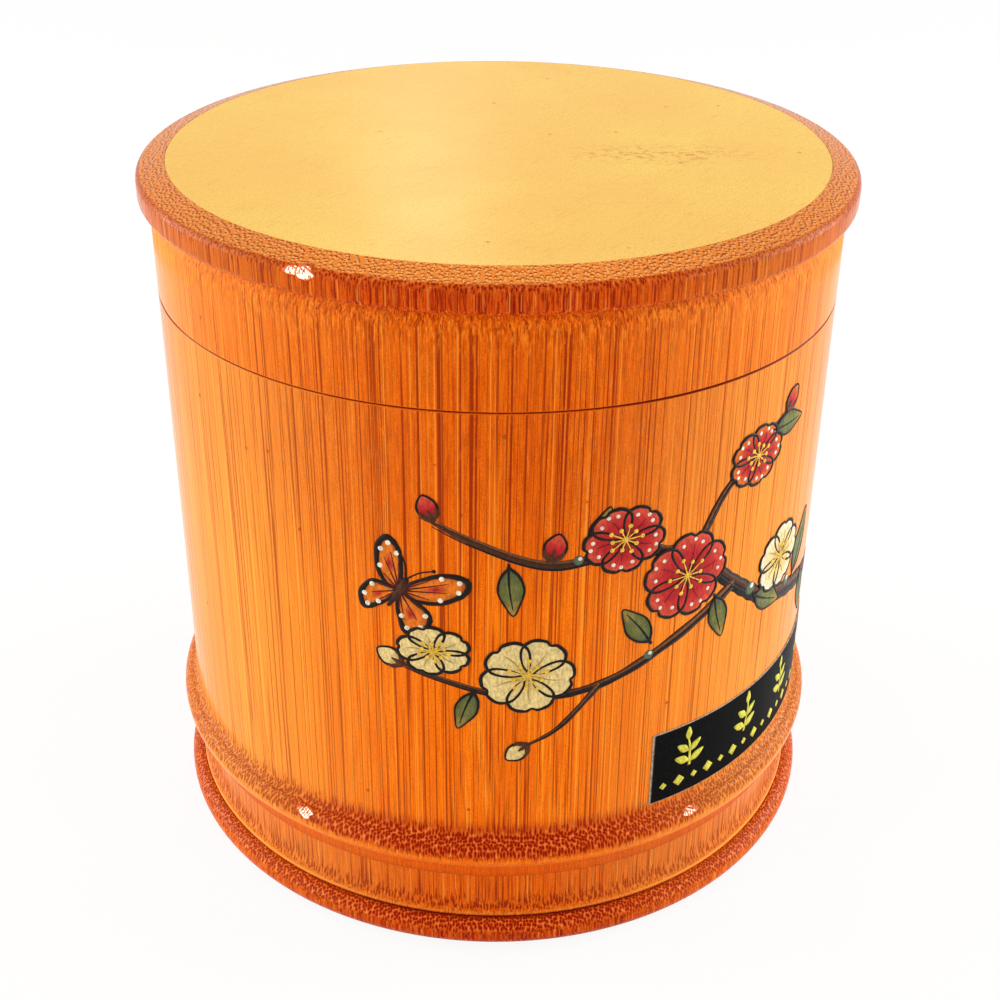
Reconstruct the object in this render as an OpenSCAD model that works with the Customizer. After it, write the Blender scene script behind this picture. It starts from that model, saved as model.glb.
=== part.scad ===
// Lidded tea canister turned from one length of thick bamboo.
// The wall is parted at a seam into a body and a lid. A thin collar glued in
// the body's mouth guides the lid, and two wooden panels close the ends.
// Millimetres. +Z is up, the origin is on the table under the middle, and the
// front of the canister faces -Y.

/* [Overall] */
// Diameter of the straight wall
wall_d = 110; // [90:1:140]
// Height from the table to the top of the lid
total_h = 116.5; // [95:0.5:170]
// Height of the lid, from the seam to its top
lid_h = 20; // [17:0.5:30]
// Thickness of the bamboo wall
wall_t = 7; // [5.5:0.5:9]
// Chamfer on the two edges that meet at the seam
seam_chamfer = 0.2; // [0.1:0.05:0.4]

/* [Lid moulding] */
// How far the bead round the lid's top stands out of the wall
bead_out = 1.7; // [1.2:0.1:3]
// Height of the bead, from the lid's top to its underside
bead_h = 5.5; // [4.5:0.5:7]
// How far the bevel round the top panel falls
bevel_drop = 0.9; // [0.4:0.1:1.5]
// Radius of the bead's upper edge
bead_top_round = 1.4; // [0.8:0.1:1.6]
// Depth by which the bevel cuts into the bead's upper edge
bevel_cut = 0.05; // [0.03:0.01:0.2]
// Radius of the bead's lower edge
bead_low_round = 1.2; // [0.6:0.1:1.4]
// Height of the shoulder under the bead
shoulder_h = 3.5; // [2:0.1:5]
// Radius by which the shoulder leans in up to the bead
shoulder_r = 6.6; // [5.5:0.1:15]

/* [Base moulding] */
// How far the foot bead stands out of the wall
foot_out = 2.5; // [1.5:0.1:3.5]
// Height of the foot bead
foot_h = 5; // [4:0.5:7]
// How far the lip over the foot bead stands out of the wall
lip_out = 0.2; // [0.1:0.1:0.8]
// Height of the lip together with the hollow above it
lip_h = 3.6; // [2.6:0.1:6]
// Radius of the hollow between the lip and the neck
neck_hollow_r = 7; // [5:0.5:8]
// How far the neck lies inside the wall
neck_in = 0.6; // [0.2:0.1:0.9]
// Height of the neck
neck_h = 5; // [3:0.2:8]
// How far the fillet under the rim stands out of the wall
fillet_out = 0.2; // [0:0.1:0.4]
// Height of the fillet
fillet_h = 2.6; // [2:0.1:6]
// How far the rim stands out of the wall
rim_out = 2.5; // [1.8:0.1:4]
// Radius of the rim's round nose
rim_round = 2.8; // [2.2:0.1:3.2]
// Height from the middle of the rim's nose up to the straight wall
flare_h = 4.25; // [3.8:0.05:5]
// Radius of the hollow between the rim's nose and the wall
flare_r = 2.2; // [1.8:0.1:3]

/* [Panels] */
// Width of the bamboo left round the lid's panel, up to the wall's face
lid_border = 3; // [2.5:0.1:4]
// Thickness of the lid's panel
lid_panel_t = 4; // [2.5:0.5:5]
// Width of the bamboo left round the floor panel, up to the wall's face
floor_border = 3.5; // [3:0.1:4]
// Thickness of the floor panel
floor_panel_t = 4; // [2.5:0.5:6]
// Gap between the table and the floor panel
floor_recess = 2; // [1:0.5:4]
// Gap all round a panel in its rebate
panel_fit = 0.1; // [0.05:0.05:0.3]
// Arris taken off the panels' edges
panel_arris = 0.2; // [0.1:0.05:0.5]

/* [Collar] */
// Thickness of the collar
collar_t = 2; // [1.5:0.1:3]
// How far the collar stands above the seam
collar_rise = 11; // [6:0.5:12]
// How far the collar reaches down into the body
collar_depth = 14; // [8:0.5:30]
// Chamfer on the collar's two upper edges
collar_chamfer = 0.5; // [0.3:0.1:0.7]
// Gap all round the collar when the lid is on
lid_clearance = 0.25; // [0.15:0.05:0.5]
// Thickness of a glue line
glue_line = 0.05; // [0.02:0.01:0.1]

/* [Label] */
// Length of the label round the wall
label_len = 55; // [30:1:90]
// Height of the label
label_h = 13.9; // [8:0.1:20]
// Thickness of the label's paper
label_t = 0.15; // [0.1:0.05:0.3]
// Gap between the flare's upper end and the label
label_gap = 0.3; // [0:0.1:8]
// Angle from the front to the label's left edge
label_from = 27; // [0:1:90]

/* [Hidden] */
$fn = 128;

// Radii of the turned bamboo
wall_r = wall_d / 2;
bore_r = wall_r - wall_t;
neck_r = wall_r - neck_in;
lip_r = wall_r + lip_out;
fillet_r = wall_r + fillet_out;
rim_r = wall_r + rim_out;
foot_r = wall_r + foot_out;
bead_r = wall_r + bead_out;

// Heights of the base moulding, stacked up from the table
neck_z = foot_h + lip_h;
fillet_z = neck_z + neck_h;
rim_low_z = fillet_z + fillet_h;
rim_z = rim_low_z + rim_round;
wall_z = rim_z + flare_h;

// Heights of the seam and of the lid's parts
seam_z = total_h - lid_h;
bead_low_z = total_h - bead_h;
shoulder_z = bead_low_z - shoulder_h;

// Panels, collar and label
lid_panel_r = wall_r - lid_border;
lid_panel_z = total_h - lid_panel_t;
floor_panel_r = wall_r - floor_border;
floor_top_z = floor_recess + floor_panel_t;
collar_r = bore_r - glue_line;
lid_bore_r = collar_r + lid_clearance;
label_r = wall_r + glue_line;
label_z = wall_z + label_gap;
label_angle = label_len / label_r * 180 / PI;
front_angle = -90;

// Centres of the bead's two edges, and where the bevel runs into the upper one
bead_top = [bead_r - bead_top_round, total_h - bevel_drop - bead_top_round];
bead_low = [bead_r - bead_low_round, bead_low_z + bead_low_round];
bevel_start = [lid_panel_r + panel_fit, total_h];
bevel_end = upper_tangent(bevel_start, bead_top, bead_top_round - bevel_cut);

bamboo = "#D9772B";
inner_bamboo = "#E0B46C";
pale_wood = "#EBC878";
black_paper = "#14110F";

// Point where the upper tangent from a point touches a circle
function upper_tangent(from, centre, radius) =
    let (
        gap = centre - from,
        reach = sqrt(gap * gap - radius * radius),
        angle = atan2(gap.y, gap.x) + asin(radius / norm(gap))
    )
    from + reach * [cos(angle), sin(angle)];

// Upright band of a turned outline, between two radii and two heights
module band(r_in, r_out, z_low, z_high) {
    translate([r_in, z_low]) square([r_out - r_in, z_high - z_low]);
}

// Corner taken off an outline at a seam edge; up is 1 for an upper edge
module seam_corner(up) {
    polygon([
        [wall_r - seam_chamfer, seam_z],
        [wall_r + seam_chamfer, seam_z],
        [wall_r + seam_chamfer, seam_z - up * 2 * seam_chamfer]
    ]);
}

module foot_outline() {
    round_r = foot_h / 2;
    band(bore_r, foot_r - round_r, 0, foot_h);
    translate([foot_r - round_r, round_r]) circle(round_r);
}

module neck_outline() {
    difference() {
        band(bore_r, lip_r, foot_h / 2, neck_z);
        translate([neck_r + neck_hollow_r, neck_z]) circle(neck_hollow_r);
    }
    band(bore_r, fillet_r, fillet_z, rim_z);
}

module rim_outline() {
    nose_r = rim_r - rim_round;
    band(bore_r, nose_r, rim_low_z, rim_z);
    translate([nose_r, rim_z]) circle(rim_round);
    difference() {
        band(bore_r, wall_r + rim_out / 2, rim_z, wall_z);
        translate([wall_r + flare_r, wall_z]) circle(flare_r);
    }
}

// Turned bamboo wall with its base moulding, rebated below for the floor
module body_shell() {
    color(bamboo) rotate_extrude() difference() {
        union() {
            band(bore_r, neck_r, 0, seam_z);
            foot_outline();
            neck_outline();
            rim_outline();
            band(bore_r, wall_r, wall_z, seam_z);
        }
        band(0, floor_panel_r + panel_fit, -floor_recess, floor_top_z);
        seam_corner(1);
    }
}

// Round wooden panel with its edges eased
module panel(radius, z_low, z_high) {
    rotate_extrude() polygon([
        [0, z_low],
        [radius - panel_arris, z_low],
        [radius, z_low + panel_arris],
        [radius, z_high - panel_arris],
        [radius - panel_arris, z_high],
        [0, z_high]
    ]);
}

// Floor, let into the foot from below
module floor_panel() {
    color(pale_wood) panel(floor_panel_r, floor_recess, floor_top_z);
}

// Thin ring glued in the mouth, over which the lid slides
module neck_collar() {
    low_z = seam_z - collar_depth;
    high_z = seam_z + collar_rise;
    color(inner_bamboo) rotate_extrude() polygon([
        [collar_r - collar_t, low_z],
        [collar_r, low_z],
        [collar_r, high_z - collar_chamfer],
        [collar_r - collar_chamfer, high_z],
        [collar_r - collar_t + collar_chamfer, high_z],
        [collar_r - collar_t, high_z - collar_chamfer]
    ]);
}

// Paper label stuck round the lower right of the wall
module label() {
    color(black_paper)
        rotate([0, 0, front_angle + label_from])
            rotate_extrude(angle = label_angle)
                band(label_r, label_r + label_t, label_z, label_z + label_h);
}

module bead_outline() {
    polygon([
        [lid_bore_r, bead_low_z],
        [bead_low.x, bead_low_z],
        bead_low,
        [bead_r, bead_low.y],
        [bead_r, bead_top.y],
        bead_top,
        bevel_end,
        bevel_start,
        [lid_bore_r, total_h]
    ]);
    translate(bead_top) circle(bead_top_round);
    translate(bead_low) circle(bead_low_round);
}

// Upper end of the same bamboo wall, rebated above for the lid's panel
module lid_ring() {
    color(bamboo) rotate_extrude() difference() {
        union() {
            bead_outline();
            band(lid_bore_r, wall_r, seam_z, shoulder_z);
            intersection() {
                band(lid_bore_r, wall_r, shoulder_z, bead_low.y);
                translate([wall_r - shoulder_r, shoulder_z]) circle(shoulder_r);
            }
        }
        band(0, lid_panel_r + panel_fit, lid_panel_z, total_h + bevel_drop);
        seam_corner(-1);
    }
}

// Top of the lid, let in flush with the bevel's edge
module lid_panel() {
    color(pale_wood) panel(lid_panel_r, lid_panel_z, total_h);
}

body_shell();
floor_panel();
neck_collar();
label();
lid_ring();
lid_panel();
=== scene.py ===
import math

import bpy
from mathutils import Matrix, Vector


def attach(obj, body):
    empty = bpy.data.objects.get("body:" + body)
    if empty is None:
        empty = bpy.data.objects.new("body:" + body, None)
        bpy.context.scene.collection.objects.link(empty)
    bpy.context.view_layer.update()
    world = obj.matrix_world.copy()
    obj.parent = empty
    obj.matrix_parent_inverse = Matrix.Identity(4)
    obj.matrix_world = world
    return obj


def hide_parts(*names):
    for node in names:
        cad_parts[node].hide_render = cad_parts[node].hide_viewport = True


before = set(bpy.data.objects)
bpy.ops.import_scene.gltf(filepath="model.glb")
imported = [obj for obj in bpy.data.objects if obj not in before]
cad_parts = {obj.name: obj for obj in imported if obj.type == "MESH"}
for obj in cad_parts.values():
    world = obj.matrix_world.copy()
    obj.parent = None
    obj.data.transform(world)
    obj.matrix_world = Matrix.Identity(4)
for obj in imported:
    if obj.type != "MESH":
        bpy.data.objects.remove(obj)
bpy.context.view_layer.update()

# Body.
# One length of thick bamboo, turned on a lathe to a straight wall over a
# moulded foot, stained orange and lacquered. It is bored through, and rebated
# below for the floor.
MM = 0.001
wall_r = 55.0
bore_r = 48.0
neck_r = 54.4
lip_r = 55.2
fillet_r = 55.2
floor_rebate_r = 51.6
foot_round = 2.5
hollow_round = 7.0
rim_nose_r = 54.7
rim_round = 2.8
flare_round = 2.2
fillet_z = 13.6
rim_z = 19.0
flare_z = 23.25
seam_z = 96.5
turned_steps = 720
sharp_angle = math.radians(32)


def arc(centre_r, centre_z, radius, start, stop, steps=14):
    """Points of a turned outline along an arc, from one angle in degrees to another."""
    points = []
    for i in range(steps + 1):
        angle = math.radians(start + (stop - start) * i / steps)
        points.append((centre_r + radius * math.cos(angle), centre_z + radius * math.sin(angle)))
    return points


def eased(before, corner, after, radius, steps=4):
    """Points that round off one corner of a turned outline."""
    ends = []
    for end in (before, after):
        reach = math.hypot(end[0] - corner[0], end[1] - corner[1])
        share = min(radius, reach * 0.45) / reach
        ends.append((
            corner[0] + (end[0] - corner[0]) * share,
            corner[1] + (end[1] - corner[1]) * share,
        ))
    points = []
    for i in range(steps + 1):
        t = i / steps
        near = (1 - t) ** 2
        middle = 2 * t * (1 - t)
        far = t * t
        points.append((
            near * ends[0][0] + middle * corner[0] + far * ends[1][0],
            near * ends[0][1] + middle * corner[1] + far * ends[1][1],
        ))
    return points


def new_piece(name, vertices, faces):
    """A smooth mesh object in the scene."""
    mesh = bpy.data.meshes.new(name)
    mesh.from_pydata(vertices, [], faces)
    mesh.update()
    mesh.shade_smooth()
    piece = bpy.data.objects.new(name, mesh)
    bpy.context.collection.objects.link(piece)
    return piece


def mark(piece, zone, values):
    """A value for each point of a piece, kept under the name of a zone."""
    layer = piece.data.attributes.new(zone, "FLOAT", "POINT")
    layer.data.foreach_set("value", values)


def turned(name, outline, zones=None):
    """A piece turned from a closed outline of (radius, height) in mm, with its zones marked on it."""
    rings = len(outline)
    vertices = []
    for step in range(turned_steps):
        angle = 2 * math.pi * step / turned_steps
        for radius, height in outline:
            vertices.append((radius * math.cos(angle) * MM, radius * math.sin(angle) * MM, height * MM))
    faces = []
    for step in range(turned_steps):
        this = step * rings
        following = (step + 1) % turned_steps * rings
        for ring in range(rings):
            above = (ring + 1) % rings
            faces.append((this + ring, following + ring, following + above, this + above))
    piece = new_piece(name, vertices, faces)
    piece.data.set_sharp_from_angle(angle=sharp_angle)
    for zone, rule in (zones or {}).items():
        values = []
        for step in range(turned_steps):
            from_front = (360 * step / turned_steps + 90 + 180) % 360 - 180
            values += [rule(radius, height, from_front) for radius, height in outline]
        mark(piece, zone, values)
    return piece


def between(value, low, high):
    """How far a value has come from low to high, eased at both ends."""
    t = min(1.0, max(0.0, (value - low) / (high - low)))
    return t * t * (3 - 2 * t)


def band(value, low, high, soft):
    """One inside a band of values, falling to nothing over a soft edge on each side."""
    return between(value, low - soft, low + soft) * (1 - between(value, high - soft, high + soft))


foot = arc(wall_r, foot_round, foot_round, -90, 82, 20)
crease = [(55.17, 4.88), (lip_r, 5.02)]
lip = eased((lip_r, 5.0), (lip_r, 5.35), (54.95, 5.95), 0.1)
neck_hollow = arc(neck_r + hollow_round, 8.6, hollow_round, 206, 180, 14)
neck = [(neck_r, height) for height in (9.4, 10.2, 11.0, 12.0, 13.2)]
fillet_low = eased((neck_r, 13.0), (54.45, fillet_z), (fillet_r, fillet_z), 0.1)
fillet = eased((neck_r, fillet_z), (fillet_r, fillet_z), (fillet_r, 15), 0.2)
fillet += [(fillet_r, 14.6), (fillet_r, 15.6)]
rim_under = eased((fillet_r, 15.8), (fillet_r, 16.24), (55.5, 16.32), 0.1)
rim_nose = arc(rim_nose_r, rim_z, rim_round, -76, 57, 26)
flare = arc(wall_r + flare_round, flare_z, flare_round, 237, 180, 14)
wall_heights = [23.6, 24.2, 25.0, 26.0, 27.0, 28.5, 45.0, 58.0, 64.0, 70.0, 76.0, 82.0, 88.0, 95.4, 96.0]
wall = [(wall_r, height) for height in wall_heights]
seam_edge = [(wall_r, 96.24), (wall_r, 96.27), (54.97, 96.34), (54.82, 96.47), (54.75, seam_z)]
bore = [(54.55, seam_z), (48.2, seam_z), (bore_r, 96.3), (bore_r, 60.0), (bore_r, 6.0)]
floor_rebate = [(floor_rebate_r, 6.0), (floor_rebate_r, 0.2), (51.8, 0.0)]
body_outline = foot + crease + lip + neck_hollow + neck + fillet_low + fillet + rim_under + rim_nose
body_outline += flare + wall + seam_edge + bore + floor_rebate


def body_stain(radius, height, from_front):
    """How much stain the bamboo has drunk: most in the end grain of the rim and the foot; it also carries
    painted shade on the fillet under the rim, and the wall darker towards the top.
    """
    if radius < 54.0:
        return 0.0
    rim_stain = between(height, 18.4, 19.8) * (1 - between(height, 22.0, 25.6))
    foot_stain = 1 - between(height, 5.0, 5.4)
    aside = between(abs(from_front), 12, 48)
    rim_stain *= 1 - 0.45 * aside
    foot_stain *= 1 - 0.12 * aside
    neck_stain_and_shade = (0.46 + 0.24 * aside) * (1 - between(height, 17.0, 18.6))
    # Painted shade on the fillet under the rim.
    neck_stain_and_shade += 0.22 * band(height, 13.6, 16.2, 0.1)
    # The wall is made darker towards the top.
    upper_darkening = 0.5 * between(height, 58.0, 90.0)
    return max(rim_stain, foot_stain, neck_stain_and_shade, upper_darkening)


def body_spikes(radius, height, from_front):
    """How far the cut fibre ends show: dots on the rim and the foot, drawn out to points above them."""
    if radius < 54.0:
        return 0.0
    rim_dots = between(height, 18.6, 19.8) * min(1.0, max(0.0, (26.6 - height) / 4.6))
    foot_dots = between(height, 2.4, 4.0) * (1 - between(height, 4.95, 5.1))
    hollow_dots = 0.9 * between(height, 5.4, 6.4) * min(1.0, max(0.0, (11.4 - height) / 4.0))
    hollow_dots *= 1 - between(height, 11.0, 11.6)
    return max(rim_dots, foot_dots, hollow_dots)


def body_plain(radius, height, from_front):
    """Where lacquer has filled the grain: the fillet, the rim's underside and the edge at the seam."""
    fillet_plain = 0.95 * band(height, 13.6, 16.2, 0.1)
    rim_plain = 0.7 * band(height, 16.2, 18.8, 0.3)
    neck_plain = 0.3 * band(height, 11.0, 13.6, 0.3)
    seam_plain = between(height, 96.23, 96.28)
    return max(fillet_plain, rim_plain, neck_plain, seam_plain)


def body_painted_shade(radius, height, from_front):
    """Where shade is painted: in the groove between foot and lip, under the fillet and the rim, and in
    the seam.
    """
    lip_crease = band(height, 4.82, 5.06, 0.1) * (1 - between(radius, 55.4, 56.0))
    lip_crease *= 1 - 0.9 * between(abs(from_front), 12, 45)
    fillet_crease = 0.8 * band(height, 13.35, 13.75, 0.12)
    rim_crease = 0.4 * band(height, 15.9, 16.3, 0.2) * (1 - between(radius, 55.3, 55.8))
    # The painted shade in the seam reaches lower on the left, and a little lower on the right.
    seam_low = 96.34 - 0.4 * band(-from_front, 75, 100, 35) - 0.1 * band(from_front, 16, 100, 12)
    seam_crease = 1.1 * between(height, seam_low, seam_low + 0.12)
    return max(lip_crease, fillet_crease, rim_crease, seam_crease)


def golden_and_lit_side(radius, height, from_front):
    """Where the stain is faded to gold and painted side light is added: on the two sides, and less at the
    back.
    """
    aside = abs(from_front)
    return between(aside, 6, 50) * (1 - 0.6 * between(aside, 95, 150))


def body_painted_highlight(radius, height, from_front):
    """Where a highlight is painted as a pale line: along the lip, more at the sides, and on the rim's
    lower edge.
    """
    lip_highlight = band(height, 5.2, 5.6, 0.12) * (0.3 + 0.6 * between(abs(from_front), 12, 45))
    rim_highlight = 0.5 * band(height, 16.7, 17.5, 0.3)
    return max(lip_highlight, rim_highlight)


def body_bare(radius, height, from_front):
    """The bore, the face under the lid and the floor's rebate have neither stain nor lacquer."""
    under_lid = height > 96.4 and radius < 54.6
    return 1.0 if under_lid or radius < 51.9 else 0.0


body_zones = {
    "stain": body_stain,
    "spikes": body_spikes,
    "plain": body_plain,
    "crease": body_painted_shade,
    "golden_and_lit": golden_and_lit_side,
    "wear_and_highlight": body_painted_highlight,
    "bare": body_bare,
}
body_shell = turned("body_shell_turned", body_outline, body_zones)


def linked(tree, kind, inputs=None, **settings):
    """A shader node with its settings, and its inputs set or linked by socket name or index."""
    node = tree.nodes.new(kind)
    for key, value in settings.items():
        setattr(node, key, value)
    for key, value in (inputs or {}).items():
        if isinstance(value, bpy.types.NodeSocket):
            tree.links.new(value, node.inputs[key])
        else:
            node.inputs[key].default_value = value
    return node


def blended(tree, amount, first, second):
    """One colour laid over another."""
    return linked(tree, "ShaderNodeMix", {0: amount, 6: first, 7: second}, data_type="RGBA").outputs[2]


def layered(tree, ground, *coats):
    """Colours laid one after another over a ground, each as far as its mask says."""
    for mask, colour in coats:
        ground = blended(tree, mask, ground, colour)
    return ground


def stepped(tree, value, low, high, out_low=0.0, out_high=1.0):
    """A value eased from one level to another as it goes from low to high."""
    limits = {"Value": value, "From Min": low, "From Max": high, "To Min": out_low, "To Max": out_high}
    return linked(tree, "ShaderNodeMapRange", limits, interpolation_type="SMOOTHSTEP").outputs["Result"]


def worked(tree, how, first, second):
    """The result of one arithmetic step on two values."""
    return linked(tree, "ShaderNodeMath", {0: first, 1: second}, operation=how).outputs[0]


def times(tree, first, *others):
    """The product of several values."""
    for other in others:
        first = worked(tree, "MULTIPLY", first, other)
    return first


def moved(tree, how, first, second):
    """The result of one arithmetic step on two places."""
    return linked(tree, "ShaderNodeVectorMath", {0: first, 1: second}, operation=how).outputs[0]


def place_in_mm(tree):
    """Where a point of the object lies, in mm."""
    place = linked(tree, "ShaderNodeTexCoord").outputs["Object"]
    return moved(tree, "MULTIPLY", place, (1000, 1000, 1000))


def noise(tree, place, stretch, detail=2.0, roughness=0.5):
    """Smooth noise whose scale along each axis is given per unit of the place."""
    settings = {"Vector": moved(tree, "MULTIPLY", place, stretch), "Scale": 1.0, "Detail": detail}
    return linked(tree, "ShaderNodeTexNoise", {**settings, "Roughness": roughness})


def give_relief(tree, shader, height, strength, depth, invert=False):
    """Fine relief on a surface, from a height that changes over it."""
    settings = {"Strength": strength, "Distance": depth, "Height": height}
    bump = linked(tree, "ShaderNodeBump", settings, invert=invert)
    tree.links.new(bump.outputs["Normal"], shader.inputs["Normal"])


def effect(name, inputs, outputs):
    """An empty shader node group with named sockets, its input node and its output node."""
    tree = bpy.data.node_groups.new(name, "ShaderNodeTree")
    for label, value in inputs:
        socket = tree.interface.new_socket(name=label, in_out="INPUT", socket_type="NodeSocketFloat")
        socket.default_value = value
    for label in outputs:
        tree.interface.new_socket(name=label, in_out="OUTPUT", socket_type="NodeSocketFloat")
    return tree, tree.nodes.new("NodeGroupInput"), tree.nodes.new("NodeGroupOutput")


# Bamboo is ground tissue with fibre bundles running up through it, finer and
# closer towards the skin. Cut along they show as long lines, cut across as
# dots, so the same solid patterns give the wall, the bevel and the mouldings.
fibre_inputs = [("Spacing mm", 0.68), ("Skin spacing mm", 0.47)]
fibre_outputs = ["Cap", "Heart", "Ends", "Line", "Pale", "Tone", "Fibre", "Streak", "Mottle"]
bamboo_fibres, fibre_in, fibre_out = effect("bamboo_fibres", fibre_inputs, fibre_outputs)
in_mm = place_in_mm(bamboo_fibres)
drift = noise(bamboo_fibres, in_mm, (0.03, 0.03, 0.006), 1.0).outputs["Color"]
drift = moved(bamboo_fibres, "SUBTRACT", drift, (0.5, 0.5, 0.5))
drift = moved(bamboo_fibres, "MULTIPLY", drift, (2.0, 2.0, 0.0))
strayed = moved(bamboo_fibres, "ADD", in_mm, drift)
ragged = noise(bamboo_fibres, in_mm, (3.0, 3.0, 0.9), 2.0).outputs["Color"]
ragged = moved(bamboo_fibres, "SUBTRACT", ragged, (0.5, 0.5, 0.5))
ragged = moved(bamboo_fibres, "MULTIPLY", ragged, (0.4, 0.4, 0.0))
ragged_place = moved(bamboo_fibres, "ADD", strayed, ragged)


def from_bundle(place_mm, spacing, disorder):
    """How far a place in the cross-section is from the middle of its fibre bundle."""
    per_mm = worked(bamboo_fibres, "DIVIDE", 1.0, fibre_in.outputs[spacing])
    settings = {"Vector": place_mm, "Scale": per_mm, "Randomness": disorder}
    cells = linked(bamboo_fibres, "ShaderNodeTexVoronoi", settings, voronoi_dimensions="2D")
    return cells.outputs["Distance"]


flat_mm = moved(bamboo_fibres, "MULTIPLY", ragged_place, (1.0, 1.0, 0.0))
outward = linked(bamboo_fibres, "ShaderNodeVectorMath", {0: flat_mm}, operation="NORMALIZE").outputs[0]
heart_shift = moved(bamboo_fibres, "MULTIPLY", outward, (0.18, 0.18, 0.0))
heart_place = moved(bamboo_fibres, "SUBTRACT", ragged_place, heart_shift)
bundle = stepped(bamboo_fibres, from_bundle(ragged_place, "Spacing mm", 0.9), 0.46, 0.3)
heart = stepped(bamboo_fibres, from_bundle(heart_place, "Spacing mm", 0.9), 0.38, 0.18)
not_heart = stepped(bamboo_fibres, heart, 0.0, 0.8, 1.0, 0.0)

lines = noise(bamboo_fibres, strayed, (3.2, 3.2, 0.004), 2.0, 0.65).outputs["Fac"]
elsewhere = moved(bamboo_fibres, "ADD", strayed, (37.0, 11.0, 5.0))
pales = noise(bamboo_fibres, elsewhere, (2.8, 2.8, 0.005), 2.0, 0.6).outputs["Fac"]
tones = noise(bamboo_fibres, elsewhere, (0.75, 0.75, 0.006), 2.0, 0.6).outputs["Fac"]
fine = noise(bamboo_fibres, strayed, (6.0, 6.0, 0.12), 3.0, 0.65).outputs["Fac"]
pores = noise(bamboo_fibres, in_mm, (5.0, 5.0, 3.5), 2.0, 0.6).outputs["Fac"]
streaks = noise(bamboo_fibres, elsewhere, (2.3, 2.3, 0.26), 2.0, 0.6).outputs["Fac"]
mottles = noise(bamboo_fibres, in_mm, (3.0, 3.0, 0.5), 2.0, 0.6).outputs["Fac"]
fibre_mix = worked(
    bamboo_fibres, "ADD", times(bamboo_fibres, fine, 0.6), times(bamboo_fibres, pores, 0.4)
)
fibre_values = {
    "Cap": times(bamboo_fibres, bundle, not_heart),
    "Heart": heart,
    "Ends": from_bundle(ragged_place, "Skin spacing mm", 0.7),
    "Line": stepped(bamboo_fibres, lines, 0.46, 0.39),
    "Pale": stepped(bamboo_fibres, pales, 0.58, 0.67),
    "Tone": stepped(bamboo_fibres, tones, 0.35, 0.65),
    "Fibre": fibre_mix,
    "Streak": streaks,
    "Mottle": mottles,
}
for label, value in fibre_values.items():
    bamboo_fibres.links.new(value, fibre_out.inputs[label])


def new_material(name, roughness, ior):
    """A material with one glossy surface shader, and that shader."""
    material = bpy.data.materials.new(name)
    material.use_nodes = True
    shader = material.node_tree.nodes["Principled BSDF"]
    shader.inputs["Roughness"].default_value = roughness
    shader.inputs["IOR"].default_value = ior
    return material, material.node_tree, shader


lacquered_bamboo, tree, shader = new_material("lacquered_bamboo", 0.18, 1.13)
shader.inputs["Coat IOR"].default_value = 2.0
shader.inputs["Coat Roughness"].default_value = 0.15
grain = linked(tree, "ShaderNodeGroup", node_tree=bamboo_fibres).outputs
zone = {}
for name in ("stain", "spikes", "plain", "crease", "golden_and_lit", "mottled", "wear_and_highlight", "drop", "bevel", "bare"):
    zone[name] = linked(tree, "ShaderNodeAttribute", attribute_name=name).outputs["Fac"]
amber = (1.0, 0.23, 0.003, 1)
amber_deep = (0.76, 0.12, 0.001, 1)
line_dark = (0.36, 0.036, 0.001, 1)
line_pale = (1.0, 0.37, 0.03, 1)
stained_red = (0.7, 0.095, 0.002, 1)
stained_deep = (0.52, 0.046, 0.001, 1)
stained_line = (0.25, 0.007, 0.001, 1)
stained_pale = (0.9, 0.27, 0.04, 1)
ends_ground = (0.64, 0.09, 0.004, 1)
ends_dark = (0.29, 0.009, 0.001, 1)
ends_net = (0.84, 0.24, 0.06, 1)
mottle_dark = (0.46, 0.06, 0.001, 1)
mottle_pale = (0.92, 0.28, 0.02, 1)
golden_and_lit_colour = (0.8, 0.44, 0.09, 1)
bevel_ground = (0.85, 0.25, 0.035, 1)
bevel_pale = (0.96, 0.42, 0.1, 1)
bevel_cap = (0.36, 0.048, 0.003, 1)
painted_shade_dark = (0.15, 0.004, 0.002, 1)
painted_highlight_edge = (0.95, 0.34, 0.06, 1)
knot_brown = (0.3, 0.05, 0.004, 1)
bare_ground = (0.72, 0.42, 0.13, 1)
bare_line = (0.5, 0.24, 0.06, 1)
open_grain = worked(tree, "SUBTRACT", 1.0, zone["plain"])
dark_lines = times(tree, grain["Line"], open_grain, 0.92)
pale_lines = times(tree, grain["Pale"], open_grain, 0.6)
fibre_tone = stepped(tree, grain["Fibre"], 0.41, 0.59)

along = layered(
    tree,
    blended(tree, fibre_tone, amber_deep, amber),
    (times(tree, grain["Tone"], 0.4), amber_deep),
    (dark_lines, line_dark),
    (pale_lines, line_pale),
)
dark_streaks = times(tree, stepped(tree, grain["Streak"], 0.5, 0.62), open_grain)
pale_streaks = times(tree, stepped(tree, grain["Streak"], 0.36, 0.3), open_grain)
stained_along = layered(
    tree,
    blended(tree, fibre_tone, stained_deep, stained_red),
    (times(tree, dark_streaks, 0.7), stained_line),
    (dark_lines, stained_line),
    (times(tree, pale_streaks, 0.5), stained_pale),
    (pale_lines, stained_pale),
)

# The cut fibre ends shrink as their zone fades out, which draws them to points.
ends_reach = worked(tree, "SUBTRACT", grain["Ends"], times(tree, zone["spikes"], 0.6))
cut_ends = times(tree, stepped(tree, ends_reach, -0.06, -0.3), open_grain)
dense_spikes = stepped(tree, zone["spikes"], 0.55, 0.95)
dense = times(tree, dense_spikes, stepped(tree, zone["stain"], 0.3, 1.0))
net = times(tree, stepped(tree, grain["Ends"], 0.56, 0.74), dense)
ends_colour = blended(tree, zone["stain"], line_dark, ends_dark)
dark_mottles = times(tree, stepped(tree, grain["Mottle"], 0.5, 0.64), zone["mottled"])
pale_mottles = times(tree, stepped(tree, grain["Mottle"], 0.48, 0.34), zone["mottled"])
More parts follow.
